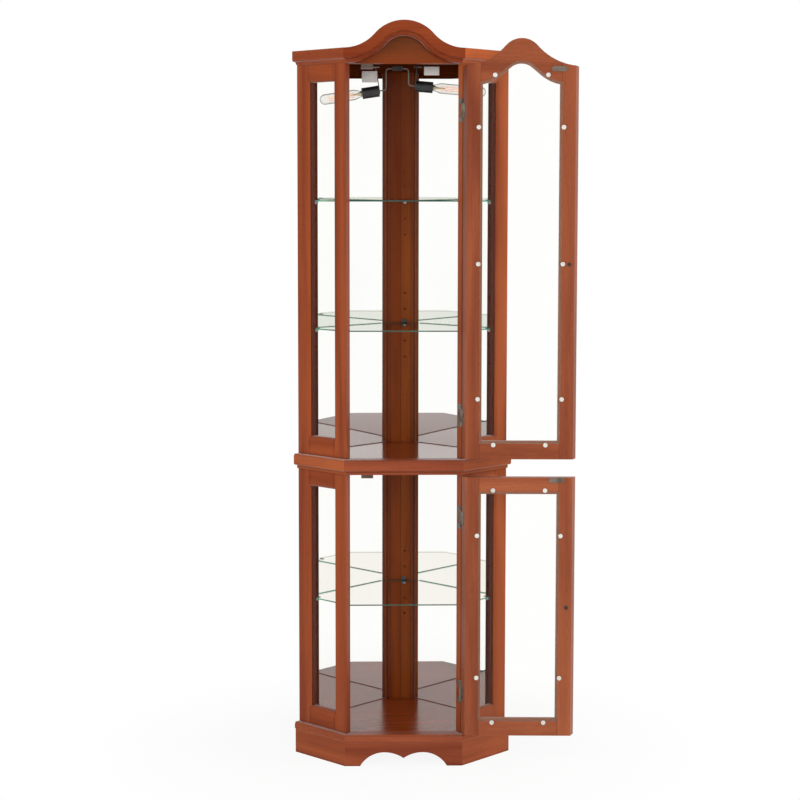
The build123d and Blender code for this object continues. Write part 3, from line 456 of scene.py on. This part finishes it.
def mirrorGlass(name, foot, lean, setup=silvering):  # with dark seams at its foot and beside the post
    material, wire = newMaterial(name)
    haze = wire.noise(wire.spot(), 5.0, 3.0).steps(0.4, 0.8)
    x, y, z = wire.spot().axes()
    clear = z.steps(foot + 0.001, foot + 0.002) * abs(x).steps(setup["postSeam"] - 0.0006, setup["postSeam"])
    seam = 1.0 - clear
    dulled = tuple(c * setup["dulling"] for c in setup["silver"][:3]) + (1.0,)
    inputs = {"Base Color": seam.mix(haze.mix(setup["silver"], dulled), setup["seam"]),
              "Metallic": 1.0 - seam, "Roughness": haze * 0.01 + 0.003}
    if lean:  # the sheet isn't quite upright, and bows a little towards its foot
        bow = (setup["bowTop"] - z).maths("MAXIMUM", 0.0)
        inputs["Normal"] = wire.bump(z * setup["lean"] - bow * bow * setup["bow"], 1.0, 1.0)
    surface(wire, wire.add("BsdfPrincipled", inputs=inputs))
    return material


clearPane = paneGlass("clearPane", glazing["pane"])
coat(clearPane, "upper_left_wing_glass", "upper_right_wing_glass",
     "lower_left_wing_glass", "lower_right_wing_glass")
for shelf in ("lower_shelf", "middle_shelf", "top_shelf"):
    coat(paneGlass(shelf + "Glass", shelving["tint"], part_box(shelf)[0][2]), shelf)


def looseCopy(node, name, shrink):  # a sheet that clears its seat by a hair, so that no two faces fight
    bpy.ops.object.select_all(action="DESELECT")
    nodes[node].select_set(True)
    bpy.context.view_layer.objects.active = nodes[node]
    bpy.ops.object.duplicate()
    piece = bpy.context.object
    piece.name = name
    bpy.ops.object.mode_set(mode="EDIT")
    bpy.ops.mesh.select_all(action="SELECT")
    bpy.ops.transform.shrink_fatten(value=-shrink)
    bpy.ops.mesh.customdata_custom_splitnormals_clear()
    bpy.ops.mesh.faces_shade_flat()
    bpy.ops.object.mode_set(mode="OBJECT")
    return piece


for level in ("upper", "lower"):
    pane = looseCopy(level + "_door_glass", level + "DoorPane", glazing["clearance"])
    dress(pane, clearPane)
    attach(pane, level + "_door")
    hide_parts(level + "_door_glass")
coat(mirrorGlass("upperSilver", silvering["upperFoot"], True), "upper_mirror_left", "upper_mirror_right")
coat(mirrorGlass("lowerSilver", silvering["lowerFoot"], False), "lower_mirror_left", "lower_mirror_right")
# the mirrors show these pieces, and a plain white room round them
mirrored = ("roof", "deck", "lower_shelf", "middle_shelf", "top_shelf", "post", "mirror", "rose",
            "back_panel")
for name, piece in nodes.items():
    if not any(word in name for word in mirrored):
        piece.visible_glossy = False
print("glass and mirrors finished")

# Metal, plastic and board

smallFinishes = {
    "agedBronze": {"low": rgb(38, 31, 27), "high": rgb(78, 64, 54), "metal": 0.6, "rough": 0.42,
                   "grain": 140.0, "nodes": ["upper_door_knob", "lower_door_knob"]},
    "hingeBronze": {"low": rgb(58, 50, 43), "high": rgb(128, 116, 100), "metal": 0.6, "rough": 0.36,
                    "grain": 300.0,
                    "nodes": ["hinge_frame_leaves", "upper_door_hinge_leaves", "lower_door_hinge_leaves"]},
    "strikePlate": {"low": rgb(88, 76, 66), "high": rgb(128, 114, 102), "metal": 0.5, "rough": 0.4,
                    "grain": 180.0, "nodes": ["upper_door_strike", "lower_door_strike"]},
    "brightSteel": {"low": rgb(116, 116, 114), "high": rgb(158, 158, 155), "metal": 0.8, "rough": 0.28,
                    "grain": 200.0, "nodes": ["shelf_pins"]},
    "whiteNylon": {"low": rgb(200, 196, 188), "high": rgb(226, 223, 216), "metal": 0.0, "rough": 0.35,
                   "grain": 90.0, "nodes": ["upper_door_clips", "lower_door_clips"]},
    "catchShell": {"low": rgb(66, 48, 40), "high": rgb(104, 84, 72), "metal": 0.0, "rough": 0.45,
                   "grain": 120.0, "nodes": ["magnetic_catches"]},
    "blackPlastic": {"low": rgb(20, 20, 21), "high": rgb(38, 37, 37), "metal": 0.0, "rough": 0.4,
                     "grain": 160.0, "nodes": ["lamp_sockets", "lamp_brackets", "ceiling_rose"]},
    "greySheath": {"low": rgb(80, 78, 76), "high": rgb(112, 110, 106), "metal": 0.0, "rough": 0.5,
                   "grain": 240.0, "nodes": ["lamp_leads"]},
    "rearBoard": {"low": rgb(136, 101, 70), "high": rgb(151, 114, 82), "metal": 0.0, "rough": 0.75,
                  "grain": 150.0, "nodes": ["back_panel_left", "back_panel_right"]},
}
creviceShade = {"reach": 0.0022, "depth": 0.75, "colour": rgb(34, 26, 22)}  # painted shade darkening slots and corners


def plainFinish(name, setup):
    material, wire = newMaterial(name)
    place = wire.spot()
    broad = wire.noise(place, setup["grain"] * 0.2, 3.0)
    fine = wire.noise(place, setup["grain"] * 8, 2.0)
    share = (broad * 0.7 + fine * 0.3).steps(0.35, 0.65)
    colour = share.mix(setup["low"], setup["high"])
    # painted shade: ambient occlusion darkens slots and corners
    occlusionShade = wire.add("AmbientOcclusion", {"samples": 6}, {"Distance": creviceShade["reach"]}, out=1)
    colour = occlusionShade.steps(0.4, 0.95, creviceShade["depth"], 0.0).mix(colour, creviceShade["colour"])
    shader = wire.add("BsdfPrincipled", inputs={
        "Base Color": colour, "Metallic": setup["metal"], "Roughness": share * 0.12 + setup["rough"] - 0.06,
        "Normal": wire.bump(fine, 0.15, 0.0002)})
    surface(wire, shader)
    return material


for name, setup in smallFinishes.items():
    coat(plainFinish(name, setup), *setup["nodes"])
print("small parts finished")

# Lamps: a clear tubular bulb with a cage of glowing wire in each black holder

lamps = {"depth": -0.22925, "ceiling": 1.7, "holder": 0.042, "neck": 0.0078, "cap": 0.0076, "tube": 0.0126,
         "sides": 40, "capSides": 32, "threadPitch": 0.0007, "threadDepth": 0.95,
         "wires": 3, "cage": 0.0048, "wire": 0.0005, "wireFoot": 0.02, "wireTop": 0.022,
         "left": {"side": -1.0, "end": 0.058, "drop": 0.059, "tilt": 9.0, "length": 0.104},
         "right": {"side": 1.0, "end": 0.031, "drop": 0.047, "tilt": 5.0, "length": 0.130}}
bulbFinish = {"clear": (0.93, 0.92, 0.9, 1), "edge": (0.16, 0.15, 0.14, 1), "gloss": (1, 1, 1, 1),
              "wireDull": rgb(190, 88, 20), "wireHot": rgb(255, 160, 52), "glow": 0.9,
              "cap": {"low": rgb(168, 140, 96), "high": rgb(214, 196, 156), "metal": 0.9, "rough": 0.3,
                      "grain": 220.0}}


def turned(name, rings, sides):  # rings up the Z axis, each a height and a radius
    bpy.ops.object.select_all(action="DESELECT")
    bpy.ops.mesh.primitive_circle_add(vertices=sides, radius=rings[0][1], fill_type="NGON",
                                      location=(0, 0, 0))
    piece = bpy.context.object
    piece.name = name
    bpy.ops.object.mode_set(mode="EDIT")
    bpy.ops.mesh.select_all(action="SELECT")
    bpy.ops.transform.translate(value=(0, 0, rings[0][0]))
    for (low, narrow), (high, wide) in zip(rings, rings[1:]):
        bpy.ops.mesh.extrude_region_move(TRANSFORM_OT_translate={"value": (0, 0, high - low)})
        bpy.ops.transform.resize(value=(wide / narrow, wide / narrow, 1), center_override=(0, 0, high))
    bpy.ops.mesh.select_all(action="SELECT")
    bpy.ops.mesh.normals_make_consistent(inside=False)
    bpy.ops.object.mode_set(mode="OBJECT")
    bpy.ops.object.shade_smooth()
    return piece


def laid(piece, lamp):  # from the Z axis onto a lamp's own line
    tilt = math.radians(lamp["tilt"])
    ahead = Vector((lamp["side"] * math.cos(tilt), 0.0, -math.sin(tilt)))
    start = Vector((lamp["side"] * lamp["end"], lamps["depth"], lamps["ceiling"] - lamp["drop"]))
    piece.matrix_world = Matrix.Translation(start) @ ahead.to_track_quat("Z", "Y").to_matrix().to_4x4()
    bpy.ops.object.select_all(action="DESELECT")
    piece.select_set(True)
    bpy.context.view_layer.objects.active = piece
    bpy.ops.object.transform_apply(location=True, rotation=True, scale=True)
    return piece


def wirePath(name, points, radius):
    bpy.ops.object.select_all(action="DESELECT")
    bpy.ops.curve.primitive_nurbs_path_add(location=(0, 0, 0))
    path = bpy.context.object
    path.name = name
    path.data.splines.clear()
    spline = path.data.splines.new("POLY")
    spline.points.add(len(points) - 1)
    for point, place in zip(spline.points, points):
        point.co = tuple(place) + (1.0,)
    path.data.bevel_depth = radius
    path.data.bevel_resolution = 2
    bpy.ops.object.convert(target="MESH")
    return bpy.context.object


def envelopeRings(lamp):  # a short neck, a straight tube and a round end
    base, tube = lamps["holder"], lamps["tube"]
    tip = base + lamp["length"]
    neck = [(base + 0.001, lamps["neck"]), (base + 0.006, lamps["neck"] * 1.05), (base + 0.013, tube * 0.86),
            (base + 0.019, tube), (tip - tube, tube)]
    dome = [(tip - tube * (1 - math.sin(math.radians(step))), tube * math.cos(math.radians(step)))
            for step in (18, 36, 54, 70, 84)]
    return neck + dome


def capRings():  # a threaded cap inside the holder, and the stem that carries the wire
    base, cap = lamps["holder"], lamps["cap"]
    thread = [(base - 0.014 + lamps["threadPitch"] * step, cap * (1.0 if step % 2 else lamps["threadDepth"]))
              for step in range(1, 20)]
    stem = [(base + 0.001, cap * 0.9), (base + 0.007, cap * 0.55), (base + 0.012, cap * 0.3),
            (base + 0.03, cap * 0.22)]
    return thread + stem


def cagePoints(lamp):  # the wire runs up and down round the stem
    near, far = lamps["holder"] + lamps["wireFoot"], lamps["holder"] + lamp["length"] - lamps["wireTop"]
    points = []
    for turn in range(2 * lamps["wires"]):
        angle = math.pi * turn / lamps["wires"]
        across = (lamps["cage"] * math.cos(angle), lamps["cage"] * math.sin(angle))
        ends = (near, far) if turn % 2 == 0 else (far, near)
        points += [across + (end,) for end in ends]
    return points


def bulb(name, lamp):
    glass = laid(turned(name + "Envelope", envelopeRings(lamp), lamps["sides"]), lamp)
    shell = laid(turned(name + "Cap", capRings(), lamps["capSides"]), lamp)
    cage = laid(wirePath(name + "Filament", cagePoints(lamp), lamps["wire"]), lamp)
    for piece, slot in ((glass, "bulb_glass"), (shell, "bronze"), (cage, "bronze")):
        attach(piece, "carcass")
        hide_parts("lamp_bulbs")
    return glass, shell, cage


def bulbGlass(setup=bulbFinish):  # clear, darker where the wall is seen edge-on: painted shade standing in for the dark surroundings seen in the glass
    material, wire = newMaterial("bulbGlass")
    edge = wire.add("LayerWeight", inputs={"Blend": 0.5}, out=1).steps(0.3, 0.9)
    smear = wire.noise(wire.spot(), 60.0, 2.0).steps(0.3, 0.8)
    clear = wire.add("BsdfTransparent", inputs={"Color": setup["clear"]})
    dark = wire.add("BsdfTransparent", inputs={"Color": setup["edge"]})
    gloss = wire.add("BsdfGlossy", {"distribution": "GGX"},
                     {"Color": setup["gloss"], "Roughness": smear * 0.03 + 0.02})
    wall = wire.add("MixShader", inputs={0: edge, 1: clear, 2: dark})
    surface(wire, wire.add("MixShader", inputs={0: edge * 0.25 + 0.06, 1: wall, 2: gloss}))
    return material


def glowingWire(setup=bulbFinish):
    material, wire = newMaterial("glowingWire")
    heat = wire.noise(wire.spot(), 90.0, 2.0).steps(0.3, 0.7)
    colour = heat.mix(setup["wireDull"], setup["wireHot"])
    surface(wire, wire.add("BsdfPrincipled", inputs={
        "Base Color": colour, "Roughness": 0.4,
        "Emission Color": colour, "Emission Strength": setup["glow"]}))
    return material


brass = plainFinish("capBrass", bulbFinish["cap"])
finishes = (bulbGlass(), brass, glowingWire())
for name in ("left", "right"):
    for piece, finish in zip(bulb(name + "Bulb", lamps[name]), finishes):
        dress(piece, finish)
print("bulbs made")

# Blank label flags by the lamps and clips that keep the shelves from tipping

flags = {"depth": -0.2395, "thick": 0.0006, "round": 0.0002,
         "left": {"from": -0.1, "to": -0.0625, "foot": 1.661, "top": 1.688},
         "right": {"from": 0.051, "to": 0.088, "foot": 1.6785, "top": 1.6998},
         "paper": {"low": rgb(176, 170, 166), "high": rgb(204, 198, 194), "metal": 0.0, "rough": 0.6,
                   "grain": 70.0}}
clips = {"wide": 0.0116, "above": 0.008, "below": 0.007, "thick": 0.0028, "x": 0.0087, "round": 0.0008,
         "shelves": ("lower_shelf", "middle_shelf"),
         "metal": {"low": rgb(44, 48, 46), "high": rgb(86, 92, 90), "metal": 0.5, "rough": 0.4,
                   "grain": 200.0}}


def plate(name, lowest, highest, rounding):  # a rounded block between two corners
    bpy.ops.object.select_all(action="DESELECT")
    middle = [(a + b) / 2 for a, b in zip(lowest, highest)]
    bpy.ops.mesh.primitive_cube_add(size=1, location=middle)
    piece = bpy.context.object
    piece.name = name
    piece.scale = [b - a for a, b in zip(lowest, highest)]
    bpy.ops.object.transform_apply(location=True, rotation=True, scale=True)
    bpy.ops.object.mode_set(mode="EDIT")
    bpy.ops.mesh.select_all(action="SELECT")
    bpy.ops.mesh.bevel(offset=rounding, segments=2, affect="EDGES")
    bpy.ops.object.mode_set(mode="OBJECT")
    bpy.ops.object.shade_smooth()
    return piece


paper = plainFinish("labelPaper", flags["paper"])
clipMetal = plainFinish("clipMetal", clips["metal"])
for name in ("left", "right"):
    spread, face = flags[name], flags["depth"]
    flag = plate(name + "Label", (spread["from"], face, spread["foot"]),
                 (spread["to"], face + flags["thick"], spread["top"]), flags["round"])
    dress(flag, paper)
    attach(flag, "carcass")
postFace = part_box("corner_post_right")[0][1]
for shelf in clips["shelves"]:
    foot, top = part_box(shelf)[0][2] - clips["below"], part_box(shelf)[1][2] + clips["above"]
    side = clips["x"] - clips["wide"] / 2, clips["x"] + clips["wide"] / 2
    clip = plate(shelf + "Clip", (side[0], postFace - clips["thick"], foot), (side[1], postFace, top),
                 clips["round"])
    dress(clip, clipMetal)
    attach(clip, "carcass")
print("labels and clips made")
